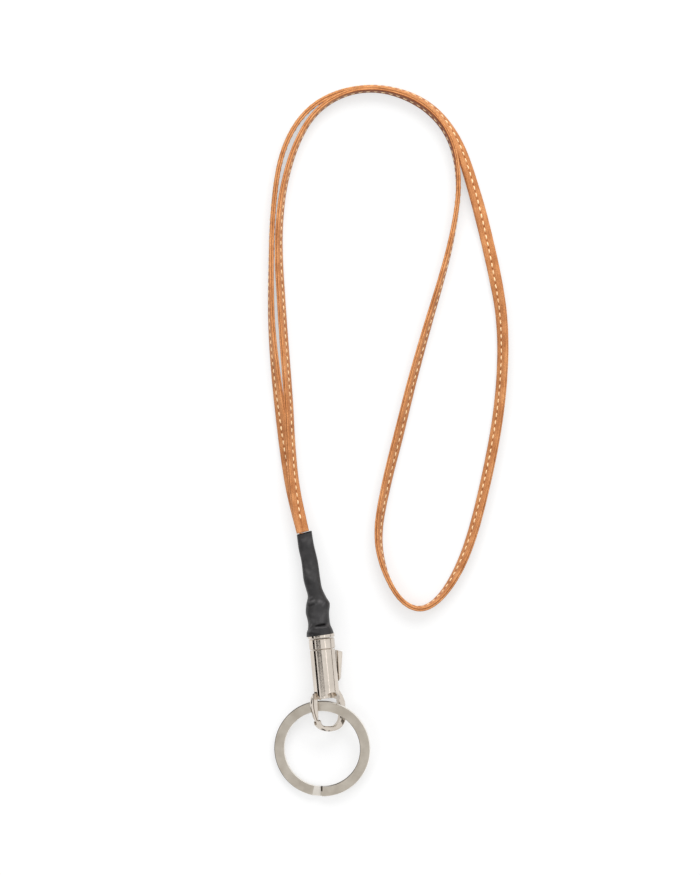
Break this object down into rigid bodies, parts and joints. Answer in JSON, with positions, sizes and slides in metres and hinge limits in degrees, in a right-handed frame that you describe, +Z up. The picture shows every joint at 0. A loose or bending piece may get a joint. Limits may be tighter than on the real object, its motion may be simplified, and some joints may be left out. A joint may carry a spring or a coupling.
{
  "type": "neck lanyard",
  "caption": "Narrow stitched leather neck lanyard with a soft sleeve, a swivel barrel snap hook with a thumb lever, and a flat split key ring.",
  "frame": {"origin": "on the table it lies on, under the middle of the sleeve, hook and ring taken together", "axes": "+Z up from the table, +Y along the hook's barrel towards the strap"},
  "size_m": [0.1067, 0.2791, 0.0106],
  "materials": {
    "strap_leather": "tan waxed leather with cream stitching",
    "sleeve_skin": "soft black skin",
    "rivet_metal": "plain",
    "nickel": "polished nickel plate",
    "washer_steel": "plain steel",
    "ring_steel": "satin nickel plate"
  },
  "bodies": {
    "strap": {"strap_face_ply": "strap_leather", "strap_back_ply": "strap_leather", "strap_fold": "strap_leather", "fold_rivet": "rivet_metal", "sleeve": "sleeve_skin", "swivel_eye": "nickel", "thrust_washer": "washer_steel", "retaining_washer": "washer_steel"},
    "hook": {"barrel_cap": "nickel", "hook_body": "nickel", "lever_pin": "washer_steel", "lever_spring": "washer_steel"},
    "gate": {"gate_lever": "nickel"},
    "key_ring": {"split_ring": "ring_steel"}
  },
  "joints": [
    {"name": "swivel", "type": "hinge", "parent": "strap", "child": "hook", "pos_m": [0.0038, 0.0052, 0.0053], "axis": [0, 1, 0], "continuous": true},
    {"name": "gate_press", "type": "hinge", "parent": "hook", "child": "gate", "pos_m": [0.00467, -0.0063, 0.00482], "axis": [0.4848, 0, 0.8746], "range_deg": [0, 9], "stiffness_Nm_per_rad": 0.02, "springref_deg": -17.19},
    {"name": "ring_spin", "type": "hinge", "parent": "hook", "child": "key_ring", "pos_m": [0, -0.0338, 0.00334], "axis": [-0.0995, -0.0778, 0.992], "continuous": true}
  ]
}
